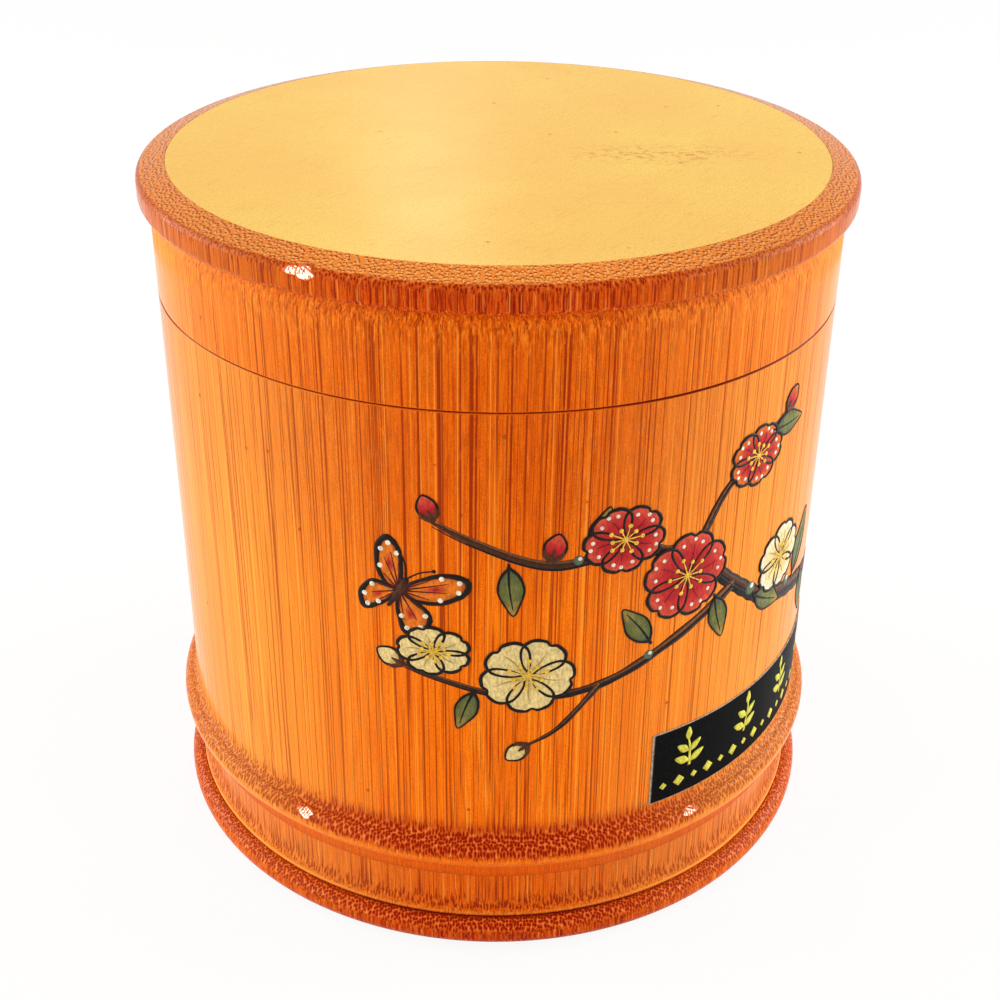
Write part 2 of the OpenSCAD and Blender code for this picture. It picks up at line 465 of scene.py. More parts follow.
# Gold over the sides, partly faded stain and partly painted side light; weaker where the stain is heavy,
# on the dark lines and on the cut ends.
golden_and_lit_wash = times(
    tree,
    zone["golden_and_lit"],
    stepped(tree, zone["stain"], 0.5, 0.9, 0.38, 0.1),
    stepped(tree, dark_lines, 0.0, 1.0, 1.0, 0.45),
    stepped(tree, cut_ends, 0.0, 1.0, 1.0, 0.5),
)
bevelled = layered(
    tree,
    bevel_ground,
    (times(tree, grain["Heart"], 0.95), bevel_pale),
    (grain["Cap"], bevel_cap),
)
in_mm = place_in_mm(tree)
knot_at = (1.15, -54.99, 93.0)
from_knot = linked(tree, "ShaderNodeVectorMath", {0: in_mm, 1: knot_at}, operation="DISTANCE")
knot = stepped(tree, from_knot.outputs["Value"], 0.55, 0.2, 0.0, 0.7)
specks = linked(tree, "ShaderNodeTexVoronoi", {"Vector": in_mm, "Scale": 0.12, "Randomness": 1.0})
speck_size = stepped(tree, specks.outputs["Distance"], 0.05, 0.025, 0.0, 0.7)
finish = layered(
    tree,
    along,
    (zone["stain"], stained_along),
    (dense, ends_ground),
    (cut_ends, ends_colour),
    (times(tree, net, 0.85), ends_net),
    (times(tree, dark_mottles, 0.7), mottle_dark),
    (times(tree, pale_mottles, 0.55), mottle_pale),
    (golden_and_lit_wash, golden_and_lit_colour),
    (zone["bevel"], bevelled),
    # Painted shade in the creases, in the seam and on the bead's sides.
    (times(tree, zone["crease"], 0.88), painted_shade_dark),
    # A painted highlight along the lip and on the rim's lower edge.
    (zone["wear_and_highlight"], painted_highlight_edge),
    (knot, knot_brown),
    (times(tree, speck_size, open_grain), line_dark),
)
bare_colour = blended(tree, times(tree, grain["Line"], 0.7), bare_ground, bare_line)
tree.links.new(blended(tree, zone["bare"], finish, bare_colour), shader.inputs["Base Color"])

pitted = blended(tree, zone["bevel"], cut_ends, grain["Cap"])
dulled = worked(tree, "MAXIMUM", zone["mottled"], zone["bare"])
gloss = worked(tree, "ADD", stepped(tree, pitted, 0.0, 1.0, 0.17, 0.26), times(tree, dulled, 0.4))
tree.links.new(gloss, shader.inputs["Roughness"])
broken = stepped(tree, grain["Mottle"], 0.52, 0.6, 1.0, 0.05)
tree.links.new(times(tree, zone["drop"], broken), shader.inputs["Coat Weight"])
give_relief(tree, shader, pitted, 0.4, 0.00006, invert=True)
body_shell.data.materials.append(lacquered_bamboo)
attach(body_shell, "base")
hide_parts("body_shell")

# Lacquer drops.
# The lacquer has run together into a few thick, rippled drops on the mouldings,
# which catch the light. Each is a thin lens of lacquer over the bamboo.
drop_spokes = 48
drop_rings = 16
drop_rise = 0.05
drop_depth = 0.9
drop_ripple = 0.015
drop_stain = 0.7
drop_round_r = 55.0
drop_upright_r = 8.0


def drop_height(across_mm, up_mm, outward):
    """Height of a drop's surface: nearly flat, rippled, and rolled under at its edge."""
    ripple = drop_ripple * math.sin(8.7 * across_mm + 2.1 * up_mm)
    ripple *= math.sin(7.9 * up_mm - 3.1 * across_mm)
    rolled = drop_depth * (max(0.0, outward - 0.8) / 0.2) ** 2
    domed = across_mm ** 2 / (2 * drop_round_r) + up_mm ** 2 / (2 * drop_upright_r)
    return drop_rise - domed + ripple - rolled


def lacquer_drops(name, body, nose_r, nose_z, nose_round, drops):
    """Lens-shaped drops on a round moulding, each from its two angles, width and height."""
    vertices = []
    shine = []
    faces = []
    for azimuth, elevation, width, tall in drops:
        turn = math.radians(azimuth)
        rise = math.radians(elevation)
        level_out = Vector((math.sin(turn), -math.cos(turn), 0))
        straight_up = Vector((0, 0, 1))
        facing = level_out * math.cos(rise) + straight_up * math.sin(rise)
        sideways = Vector((math.cos(turn), math.sin(turn), 0))
        upward = facing.cross(sideways)
        middle = level_out * nose_r + straight_up * nose_z + facing * nose_round
        top = len(vertices)
        vertices.append((middle + facing * drop_rise) * MM)
        vertices.append((middle - facing * drop_depth * 1.5) * MM)
        shine += [1.0, 0.0]
        first = top + 2
        for ring in range(1, drop_rings + 1):
            outward = ring / drop_rings
            for spoke in range(drop_spokes):
                angle = 2 * math.pi * spoke / drop_spokes
                wander = 1 + 0.16 * math.sin(3 * angle + azimuth) + 0.1 * math.sin(5 * angle - azimuth)
                across_mm = width / 2 * outward * wander * math.cos(angle)
                up_mm = tall / 2 * outward * wander * math.sin(angle)
                height = drop_height(across_mm, up_mm, outward)
                offset = sideways * across_mm + upward * up_mm + facing * height
                vertices.append((middle + offset) * MM)
                shine.append(1 - between(outward, 0.6, 0.85))
        last = first + (drop_rings - 1) * drop_spokes
        for spoke in range(drop_spokes):
            following = (spoke + 1) % drop_spokes
            faces.append((top, first + spoke, first + following))
            faces.append((top + 1, last + following, last + spoke))
            for ring in range(drop_rings - 1):
                inner = first + ring * drop_spokes
                outer = inner + drop_spokes
                faces.append((inner + spoke, outer + spoke, outer + following, inner + following))
    piece = new_piece(name, vertices, faces)
    mark(piece, "drop", shine)
    mark(piece, "stain", [drop_stain] * len(vertices))
    piece.data.materials.append(lacquered_bamboo)
    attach(piece, body)


rim_drops = [(-32.3, 36, 4.0, 2.4), (34.3, 36.5, 3.4, 2.1)]
lacquer_drops("lacquer_drops_rim", "base", rim_nose_r, rim_z, rim_round, rim_drops)

# Painting.
# A spray of plum blossom and a butterfly, brushed on the wall in opaque colour
# with ink outlines. Each brush mark is a thin film of paint on the lacquer.
film_thickness = 0.06


def on_wall(along, height, lift):
    """A place on the wall: mm to the right of the front, above the table and off the surface."""
    turn = along / wall_r
    radius = (wall_r + lift) * MM
    return (radius * math.sin(turn), -radius * math.cos(turn), height * MM)


def smooth_path(points, per_span=8):
    """A smooth open curve through points, with some steps in each span."""
    ends = [points[0]] + list(points) + [points[-1]]
    curve = []
    for i in range(1, len(ends) - 2):
        before, start, stop, after = ends[i - 1:i + 3]
        for step in range(per_span):
            t = step / per_span
            weights = (
                -0.5 * t + t ** 2 - 0.5 * t ** 3,
                1 - 2.5 * t ** 2 + 1.5 * t ** 3,
                0.5 * t + 2 * t ** 2 - 1.5 * t ** 3,
                -0.5 * t ** 2 + 0.5 * t ** 3,
            )
            pulls = list(zip(weights, (before, start, stop, after)))
            curve.append(tuple(sum(pull * knot[axis] for pull, knot in pulls) for axis in (0, 1)))
    curve.append(tuple(points[-1]))
    return curve


def mirrored(half):
    """A closed outline from the points of its right half, listed from one end to the other."""
    return half + [(-across_by, up) for across_by, up in half[-2:0:-1]] + [half[0]]


def read_off(values, t):
    """A number or colour read off a short list of evenly spaced ones, with t from 0 to 1."""
    spot = t * (len(values) - 1)
    first = min(int(spot), len(values) - 2)
    share = spot - first
    if isinstance(values[0], tuple):
        return tuple(a + (b - a) * share for a, b in zip(values[first], values[first + 1]))
    return values[first] + (values[first + 1] - values[first]) * share


def laid(along, height, size, turn, lean=1.0):
    """A rule that lays a small drawing on the wall, turned clockwise in degrees and leaned back."""
    angle = math.radians(turn)

    def lay(point):
        rightward = point[0] * math.cos(angle) + point[1] * math.sin(angle)
        upward_by = -point[0] * math.sin(angle) + point[1] * math.cos(angle)
        return (along + size * rightward, height + size * lean * upward_by)

    return lay


class PaintFilm:
    """Brush marks of one part of a picture, gathered into one thin mesh with its colours."""

    def __init__(self, base_lift=0.03):
        self.places = []
        self.faces = []
        self.colours = []
        self.base_lift = base_lift

    def add(self, point, lift, colour):
        self.places.append(on_wall(point[0], point[1], self.base_lift + lift))
        self.colours.append((*colour, 1.0))
        return len(self.places) - 1

    def stroke(self, points, widths, colours, lift, per_span=8):
        """A brush stroke along a path, with its widths in mm and its colours from start to end."""
        path = smooth_path(points, per_span)
        last = len(path) - 1
        rows = []
        for i, point in enumerate(path):
            before = path[max(i - 1, 0)]
            after = path[min(i + 1, last)]
            ahead = (after[0] - before[0], after[1] - before[1])
            reach = math.hypot(*ahead) or 1.0
            half = read_off(widths, i / last) / 2 * (1 + 0.1 * math.sin(2.1 * i + point[1]))
            side = (-ahead[1] / reach * half, ahead[0] / reach * half)
            colour = read_off(colours, i / last)
            rows.append((
                self.add((point[0] + side[0], point[1] + side[1]), lift, colour),
                self.add((point[0] - side[0], point[1] - side[1]), lift, colour),
            ))
        for first, second in zip(rows, rows[1:]):
            self.faces.append((first[0], first[1], second[1], second[0]))

    def fill(self, outline, lay, colour_of, lift, per_span=4, rings=5):
        """A filled shape, coloured by a rule of how far up the drawing a point lies and how far out."""
        edge = smooth_path(outline, per_span)[:-1]
        middle = [sum(point[axis] for point in edge) / len(edge) for axis in (0, 1)]
        centre = self.add(lay(middle), lift, colour_of(middle[1], 0.0))
        rows = []
        for ring in range(1, rings + 1):
            share = ring / rings
            row = []
            for point in edge:
                spot = tuple(middle[axis] + (point[axis] - middle[axis]) * share for axis in (0, 1))
                row.append(self.add(lay(spot), lift, colour_of(spot[1], share)))
            rows.append(row)
        count = len(edge)
        for i in range(count):
            self.faces.append((centre, rows[0][i], rows[0][(i + 1) % count]))
        for inner, outer in zip(rows, rows[1:]):
            for i in range(count):
                after = (i + 1) % count
                self.faces.append((inner[i], outer[i], outer[after], inner[after]))

    def dot(self, along, height, size, colour, lift):
        """One round touch of the brush."""
        circle = [(math.cos(math.radians(60 * i)), math.sin(math.radians(60 * i))) for i in range(7)]
        self.fill(circle, laid(along, height, size, 0), lambda up, out: colour, lift, 3, 2)

    def outlined(self, outline, lay, widths, colour, lift, per_span=4):
        """An ink line round a shape."""
        self.stroke([lay(point) for point in outline], widths, [colour, colour], lift, per_span)

    def piece(self, name, material, slot):
        """The film as a piece of the body, given its thickness."""
        film = new_piece(name, self.places, self.faces)
        layer = film.data.attributes.new("paint", "FLOAT_COLOR", "POINT")
        layer.data.foreach_set("color", [channel for colour in self.colours for channel in colour])
        body = film.modifiers.new("thickness", "SOLIDIFY")
        body.thickness = film_thickness * MM
        body.offset = -1.0
        film.data.materials.append(material)
        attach(film, "base")


paint_film, tree, shader = new_material("paint_film", 0.4, 1.2)
paint = linked(tree, "ShaderNodeAttribute", attribute_name="paint").outputs["Color"]
in_mm = place_in_mm(tree)
bristles = noise(tree, in_mm, (2.4, 2.4, 1.1), 4.0, 0.7).outputs["Fac"]
thin_paint = stepped(tree, bristles, 0.3, 0.7, 0.62, 1.12)
shaded = linked(tree, "ShaderNodeVectorMath", {0: paint, "Scale": thin_paint}, operation="SCALE")
tree.links.new(shaded.outputs[0], shader.inputs["Base Color"])
tree.links.new(stepped(tree, bristles, 0.3, 0.7, 0.5, 0.3), shader.inputs["Roughness"])
give_relief(tree, shader, bristles, 0.3, 0.00005)

ink = (0.012, 0.008, 0.006)
bark = (0.085, 0.028, 0.012)
bark_light = (0.23, 0.085, 0.032)
crimson = (0.5, 0.018, 0.02)
crimson_deep = (0.19, 0.006, 0.012)
rose = (0.72, 0.1, 0.05)
orange = (0.78, 0.19, 0.012)
cream = (0.8, 0.62, 0.27)
ochre = (0.5, 0.32, 0.07)
stamen_yellow = (0.85, 0.52, 0.06)
leaf_green = (0.15, 0.16, 0.045)
moss_green = (0.1, 0.15, 0.1)
off_white = (0.85, 0.78, 0.66)

# Branch: thick dark strokes from the right, thinning into twigs, with a paler
# stroke of bark over them and an ink line below.
painted_branch = PaintFilm()
main_branch = [(101, 50), (92, 47), (80, 47), (64, 50), (50, 54), (40, 61), (31, 69)]
main_branch += [(20, 73), (8, 72), (-3, 76), (-9, 79)]
low_twig = [(40, 61), (28, 55), (16, 50), (4, 49), (-8, 52), (-14, 54)]
high_twig = [(31, 69), (36, 78), (44, 84), (50, 87)]
short_twig = [(16, 50), (10, 43), (5, 40)]
limbs = [
    (main_branch, [0.5, 2.2, 3.4, 3.4, 3.0, 2.7, 2.2, 1.7, 1.4, 1.0, 0.5]),
    (low_twig, [2.2, 1.8, 1.5, 1.2, 0.9, 0.4]),
    (high_twig, [1.8, 1.5, 1.1, 0.5]),
    (short_twig, [1.2, 0.9, 0.4]),
]
for path, widths in limbs:
    painted_branch.stroke(path, widths, [bark, ink, bark], 0.0)
    thickest = max(widths)
    shifted = [(along, height + 0.18 * thickest) for along, height in path]
    thin_widths = [width * 0.3 for width in widths]
    painted_branch.stroke(shifted, thin_widths, [bark_light, bark, bark_light], 0.012)
    below = [(along, height - 0.2 * thickest) for along, height in path]
    painted_branch.stroke(below, [width * 0.22 for width in widths], [ink, ink], 0.012)
knots = [(72, 49.6, 1.3), (57, 53.2, 1.1), (44.5, 58.0, 1.2)]
knots += [(35, 66.0, 0.9), (24, 53.6, 0.8), (12, 72.6, 0.8)]
for along, height, size in knots:
    painted_branch.dot(along, height, size, moss_green, 0.02)
    painted_branch.dot(along + 0.3 * size, height + 0.3 * size, size * 0.4, off_white, 0.026)
painted_branch.piece("painted_branch", paint_film, "lacquered_bamboo")

# Leaves: almond strokes of green with a dark rib and edge.
painted_leaves = PaintFilm(0.05)
leaf_shape = mirrored([(0, 0), (0.17, 0.2), (0.24, 0.5), (0.14, 0.8), (0, 1.04)])
leaves = [
    (60, 53, 11, 25), (66, 50, 10, 160), (46, 56, 9, 120), (36, 60, 8, 165),
    (24, 56, 8, -35), (2, 72, 8, 175), (14, 74, 7, 20), (47, 85, 8, 95), (-3, 50, 7, 200),
    (86, 48, 9, 30), (93, 47, 8, 150),
]


def leaf_colour(up, out):
    """Green, darker at the stem and paler towards the middle of the leaf."""
    body_colour = read_off([moss_green, leaf_green, leaf_green, ochre], min(1.0, max(0.0, up)))
    return tuple(channel * (1.25 - 0.5 * out) for channel in body_colour)


for number, (along, height, size, turn) in enumerate(leaves):
    lay = laid(along, height, size, turn)
    layer = 0.003 * number
    painted_leaves.fill(leaf_shape, lay, leaf_colour, layer)
    painted_leaves.outlined(leaf_shape, lay, [0.5, 0.3, 0.2, 0.35, 0.5], ink, layer + 0.03)
    rib = [lay((0, -0.08)), lay((0.03, 0.4)), lay((0, 0.9))]
    painted_leaves.stroke(rib, [0.5, 0.3, 0.12], [ink, ink], layer + 0.03)
painted_leaves.piece("painted_leaves", paint_film, "lacquered_bamboo")

# Blossoms: five notched petals each, crimson or cream, with ink edges, a ring
# of stamens and a few pale touches.
painted_blossoms = PaintFilm(0.09)
petal_half = [(0, 0.06), (0.28, 0.24), (0.5, 0.58), (0.42, 0.88), (0.15, 1.0), (0, 0.94)]
petal_shape = mirrored(petal_half)
petal_edge = [0.2, 0.4, 0.6, 0.35, 0.55, 0.4, 0.2]
blossoms = [
    (30, 66, 7.5, 8, 0.95, (crimson_deep, crimson, rose)),
    (19, 75, 6.3, 40, 0.85, (crimson_deep, crimson, rose)),
    (43, 82, 6.0, 20, 0.8, (crimson_deep, crimson, orange)),
    (5, 53, 7.0, 30, 0.92, (ochre, cream, cream)),
    (-9, 57, 5.5, 55, 0.75, (ochre, cream, cream)),
    (53, 60, 6.5, 12, 0.9, (ochre, cream, off_white)),
]
for number, (along, height, size, spin, lean, tones) in enumerate(blossoms):
    for petal in range(5):
        lay = laid(along, height, size, spin + 72 * petal, lean)
        layer = 0.004 * petal + 0.002 * number

        def petal_colour(up, out, tones=tones):
            """Deep at the heart of the flower and paler towards the petal's edge."""
            return read_off(list(tones), min(1.0, max(0.0, up * 0.8 + 0.2 * out)))

        painted_blossoms.fill(petal_shape, lay, petal_colour, layer)
        painted_blossoms.outlined(petal_shape, lay, petal_edge, ink, layer + 0.03)
        vein = [lay((0, 0.2)), lay((0.04, 0.5)), lay((0.02, 0.74))]
        painted_blossoms.stroke(vein, [0.3, 0.2, 0.05], [tones[0], tones[0]], layer + 0.03)
        if tones[1] is crimson:
            for across_by, up in ((-0.25, 0.72), (0.22, 0.76), (0.02, 0.86)):
                spot = lay((across_by, up))
                painted_blossoms.dot(spot[0], spot[1], 0.32, off_white, layer + 0.034)
    heart = laid(along, height, size, spin, lean)
    painted_blossoms.dot(along, height, size * 0.13, tones[0], 0.07)
    for stamen in range(10):
        angle = math.radians(36 * stamen + 10)
        length = 0.42 if stamen % 2 else 0.32
        tip = heart((length * math.sin(angle), length * math.cos(angle)))
        painted_blossoms.stroke([(along, height), tip], [0.22, 0.16], [stamen_yellow] * 2, 0.074)
        painted_blossoms.dot(tip[0], tip[1], 0.36, stamen_yellow, 0.078)
bud_shape = mirrored([(0, 0), (0.34, 0.28), (0.38, 0.64), (0.18, 0.94), (0, 1.05)])
buds = [
    (-9, 79.5, 3.8, -20, (crimson_deep, crimson, rose)),
    (8, 73, 4.2, 15, (crimson_deep, crimson, rose)),
    (-14, 54, 4.0, -60, (ochre, cream, cream)),
    (5, 40, 3.8, -130, (ochre, cream, cream)),
    (50, 87, 4.0, 40, (crimson_deep, crimson, orange)),
    (101, 50, 4.2, 55, (crimson_deep, crimson, rose)),
]
for along, height, size, turn, tones in buds:
    lay = laid(along, height, size, turn)

    def bud_colour(up, out, tones=tones):
        """Deep at the stem and paler towards the tip of the bud."""
        return read_off(list(tones), min(1.0, max(0.0, up)))

    painted_blossoms.fill(bud_shape, lay, bud_colour, 0.01)
    painted_blossoms.outlined(bud_shape, lay, [0.5, 0.35, 0.25, 0.35, 0.5], ink, 0.04)
    for side in (-0.3, 0.0, 0.3):
        sepal = [lay((0, -0.05)), lay((side, 0.2)), lay((side * 1.1, 0.42))]
        painted_blossoms.stroke(sepal, [0.9, 0.7, 0.15], [bark, bark], 0.05)
painted_blossoms.piece("painted_blossoms", paint_film, "lacquered_bamboo")

# Butterfly: four wings shaded from crimson to orange, with dark edges and rows
# of white touches, and a dark body.
painted_butterfly = PaintFilm(0.05)
upper_wing = [(0, 0), (0.2, 0.4), (0.62, 0.86), (1.08, 1.0), (1.2, 0.72), (0.9, 0.24)]
upper_wing += [(0.42, -0.02), (0, 0)]
lower_wing = [(0, 0), (0.42, -0.04), (0.84, -0.2), (0.9, -0.6), (0.6, -0.84), (0.3, -0.58)]
lower_wing += [(0.1, -0.3), (0, 0)]
butterfly_at = (-14, 67)
butterfly_size = 7.0
butterfly_turn = 28


def wing_colour(up, out):
    """Crimson by the body, orange in the middle and dark at the edge."""
    return read_off([crimson_deep, crimson, orange, orange, crimson_deep], min(1.0, 0.15 + 0.85 * out))


lay = laid(*butterfly_at, butterfly_size, butterfly_turn)
for side, breadth in ((1, 1.0), (-1, 0.72)):
    for wing, layer in ((lower_wing, 0.0), (upper_wing, 0.006)):
        shape = [(side * breadth * across_by, up) for across_by, up in wing[::-side]]
        painted_butterfly.fill(shape, lay, wing_colour, layer)
        painted_butterfly.outlined(shape, lay, [0.3, 0.6, 0.9, 0.9, 0.6, 0.3], ink, layer + 0.03)
        middle = [sum(point[axis] for point in wing[:-1]) / (len(wing) - 1) for axis in (0, 1)]
        for point in wing[1:-1]:
            shade_line = [lay((0, 0)), lay((side * breadth * point[0] * 0.72, point[1] * 0.72))]
            painted_butterfly.stroke(shade_line, [0.3, 0.1], [ink, crimson_deep], layer + 0.032)
        for point in wing[2:-2]:
            spot = lay((
                side * breadth * (middle[0] + 0.78 * (point[0] - middle[0])),
                middle[1] + 0.78 * (point[1] - middle[1]),
            ))
            painted_butterfly.dot(spot[0], spot[1], 0.42, off_white, layer + 0.036)
butterfly_body = [lay((0, 0.34)), lay((0.02, 0.05)), lay((-0.02, -0.5))]
painted_butterfly.stroke(butterfly_body, [0.9, 1.3, 0.4], [ink, bark, ink], 0.05)
for side in (-1, 1):
    feeler = [lay((0, 0.32)), lay((side * 0.16, 0.62)), lay((side * 0.4, 0.84))]
    painted_butterfly.stroke(feeler, [0.28, 0.2, 0.2], [ink, ink], 0.05)
    painted_butterfly.dot(*feeler[-1], 0.3, ink, 0.05)
painted_butterfly.piece("painted_butterfly", paint_film, "lacquered_bamboo")

# Floor.
# A round panel of pale wood let into the foot from below, a little above the
# table, and glued against the rebate's ledge.
floor_outline = [(0.001, 2.0), (51.3, 2.0), (51.5, 2.2), (51.5, 5.8), (51.3, 6.0), (0.001, 6.0)]
floor_panel = turned("floor_panel_turned", floor_outline)
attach(floor_panel, "base")
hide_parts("floor_panel")

pale_wood, tree, shader = new_material("pale_wood", 0.4, 1.08)
in_mm = place_in_mm(tree)


def turned_round(place_mm, degrees):
    """A place turned round the canister's axis."""
    settings = {"Vector": place_mm, "Rotation": (0, 0, math.radians(degrees))}
    return linked(tree, "ShaderNodeMapping", settings).outputs[0]


turned_mm = turned_round(in_mm, 24)
grain_lines = noise(tree, turned_mm, (0.12, 2.2, 0.12), 4.0, 0.6).outputs["Fac"]
clouds = noise(tree, in_mm, (0.03, 0.03, 0.03), 2.0).outputs["Fac"]
flecks = noise(tree, in_mm, (3.4, 3.4, 3.4), 3.0, 0.7).outputs["Fac"]
scratched_mm = turned_round(in_mm, -52)
scratches = noise(tree, scratched_mm, (0.3, 4.5, 1.0), 3.0, 0.7).outputs["Fac"]
pale = (0.94, 0.63, 0.152, 1)
pale_deep = (0.92, 0.565, 0.14, 1)
pale_line = (0.8, 0.4, 0.06, 1)
speck_brown = (0.3, 0.13, 0.03, 1)
scuff_brown = (0.66, 0.27, 0.05, 1)
scuffed_at = (25.0, -4.0, 116.5)
scuff_place = moved(tree, "MULTIPLY", moved(tree, "SUBTRACT", in_mm, scuffed_at), (0.052, 0.14, 0.05))
scuff_reach = linked(tree, "ShaderNodeVectorMath", {0: scuff_place}, operation="LENGTH").outputs["Value"]
scuffs = noise(tree, in_mm, (0.8, 1.3, 1.0), 4.0, 0.7).outputs["Fac"]
scuffed = times(tree, stepped(tree, scuff_reach, 1.0, 0.2), stepped(tree, scuffs, 0.5, 0.62, 0.0, 0.9))
speck_settings = {"Vector": in_mm, "Scale": 0.105, "Randomness": 1.0}
specks = linked(tree, "ShaderNodeTexVoronoi", speck_settings, voronoi_dimensions="2D")
speck_pick = linked(tree, "ShaderNodeSeparateColor", {0: specks.outputs["Color"]})
speck_size = stepped(tree, specks.outputs["Distance"], 0.045, 0.02)
speck_some = stepped(tree, speck_pick.outputs["Red"], 0.8, 0.86, 0.0, 0.55)
panel_colour = layered(
    tree,
    pale,
    (stepped(tree, clouds, 0.35, 0.68), pale_deep),
    (stepped(tree, grain_lines, 0.5, 0.8, 0.0, 0.35), pale_line),
    (stepped(tree, flecks, 0.48, 0.66, 0.0, 0.8), pale_line),
    (stepped(tree, scratches, 0.57, 0.68, 0.0, 0.75), pale_line),
    (scuffed, scuff_brown),
    (times(tree, speck_size, speck_some), speck_brown),
)
tree.links.new(panel_colour, shader.inputs["Base Color"])
rubbed = noise(tree, in_mm, (0.06, 0.06, 0.06), 4.0).outputs["Fac"]
tree.links.new(stepped(tree, rubbed, 0.3, 0.7, 0.25, 0.28), shader.inputs["Roughness"])
give_relief(tree, shader, grain_lines, 0.05, 0.00003)
floor_panel.data.materials.append(pale_wood)

# Collar.
# A thin bamboo ring glued inside the mouth. It stands above the seam, and the
# lid slides over it. It is left without stain, and its upper edges are eased.
collar_outline = [(45.95, 82.5), (47.95, 82.5), (47.95, 107.0)]
collar_outline += eased((47.95, 106.9), (47.9, 107.5), (46.9, 107.5), 0.5)
collar_outline += eased((47.0, 107.5), (46.0, 107.5), (45.95, 106.9), 0.5)
collar_outline += [(45.95, 106.9)]
neck_collar = turned("neck_collar_turned", collar_outline)
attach(neck_collar, "base")
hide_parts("neck_collar")

inner_bamboo, tree, shader = new_material("inner_bamboo", 0.5, 1.4)
fibres = linked(tree, "ShaderNodeGroup", node_tree=bamboo_fibres)
fibres.inputs["Spacing mm"].default_value = 1.1
fibres.inputs["Skin spacing mm"].default_value = 0.9
grain = fibres.outputs
inner_pale = (0.76, 0.48, 0.17, 1)
inner_warm = (0.66, 0.37, 0.11, 1)
inner_streak = (0.46, 0.21, 0.05, 1)
inner_colour = blended(tree, stepped(tree, grain["Fibre"], 0.3, 0.7), inner_warm, inner_pale)
inner_lines = times(tree, grain["Line"], stepped(tree, grain["Tone"], 0.2, 0.9, 0.2, 0.7))
tree.links.new(blended(tree, inner_lines, inner_colour, inner_streak), shader.inputs["Base Color"])
tree.links.new(stepped(tree, grain["Fibre"], 0.3, 0.7, 0.45, 0.6), shader.inputs["Roughness"])
give_relief(tree, shader, grain["Fibre"], 0.3, 0.0001)
neck_collar.data.materials.append(inner_bamboo)

# Label.
# A strip of black coated paper, stuck round the lower right of the wall just
# above the flare, and printed with four leaf sprigs over a row of lozenges.
label_in = 55.05
label_out = 55.2
label_low = 23.55
label_high = 37.45
label_len = 55.0
label_from = math.radians(27)
label_to = label_from + label_len / label_in
paper_edge = 0.05
worn_width = 0.18
label_steps = 140
label_profile = [
    (label_in, label_low),
    (label_out - paper_edge, label_low),
    (label_out, label_low + paper_edge),
    (label_out, label_low + worn_width),
    (label_out, label_high - worn_width),
    (label_out, label_high - paper_edge),
    (label_out - paper_edge, label_high),
    (label_in, label_high),
]
label_vertices = []
label_edges_worn = []
for step in range(label_steps + 1):
    share = step / label_steps
    angle = label_from + (label_to - label_from) * share
    for radius, height in label_profile:
        out_mm = radius * MM
        label_vertices.append((out_mm * math.sin(angle), -out_mm * math.cos(angle), height * MM))
        from_end = min(share, 1 - share) * label_len
        from_edge = min(height - label_low, label_high - height, from_end)
        label_edges_worn.append(1 - between(from_edge, 0.02, worn_width))
sides = len(label_profile)
label_faces = [tuple(range(sides))[::-1], tuple(range(label_steps * sides, (label_steps + 1) * sides))]
for step in range(label_steps):
    for side in range(sides):
        after = (side + 1) % sides
        this = step * sides
        following = this + sides
        label_faces.append((this + side, this + after, following + after, following + side))
label_paper = new_piece("label_paper", label_vertices, label_faces)
label_paper.data.set_sharp_from_angle(angle=sharp_angle)
mark(label_paper, "wear_and_highlight", label_edges_worn)
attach(label_paper, "base")
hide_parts("label")

black_paper, tree, shader = new_material("black_paper", 0.3, 1.06)
edge_wear = linked(tree, "ShaderNodeAttribute", attribute_name="wear_and_highlight").outputs["Fac"]
in_mm = place_in_mm(tree)
paper_fibres = noise(tree, in_mm, (1.8, 1.8, 1.8), 5.0, 0.7).outputs["Fac"]
paper_black = (0.004, 0.004, 0.004, 1)
paper_soft = (0.008, 0.008, 0.009, 1)
paper_worn = (0.6, 0.52, 0.42, 1)
paper_colour = blended(tree, stepped(tree, paper_fibres, 0.4, 0.7), paper_black, paper_soft)
rubbing = times(tree, edge_wear, stepped(tree, paper_fibres, 0.35, 0.6, 0.4, 0.9))
tree.links.new(blended(tree, rubbing, paper_colour, paper_worn), shader.inputs["Base Color"])
tree.links.new(stepped(tree, paper_fibres, 0.3, 0.7, 0.3, 0.45), shader.inputs["Roughness"])
give_relief(tree, shader, paper_fibres, 0.15, 0.00003)
label_paper.data.materials.append(black_paper)

print_lime = (0.66, 0.62, 0.07)
label_print = PaintFilm(label_out - wall_r + 0.03)
print_margin = 0.9
print_left = label_from * wall_r + print_margin
print_right = label_to * wall_r - print_margin
sprig_leaf = mirrored([(0, 0), (0.2, 0.3), (0.22, 0.6), (0, 1.05)])
sprig_leaves = [(0.1, 62, 3.2), (0.12, -64, 3.2), (0.36, 52, 2.9), (0.38, -52, 2.9), (0.66, 0, 2.6)]
sprigs = 4


def print_colour(up, out):
    """The print has one colour all over."""
    return print_lime


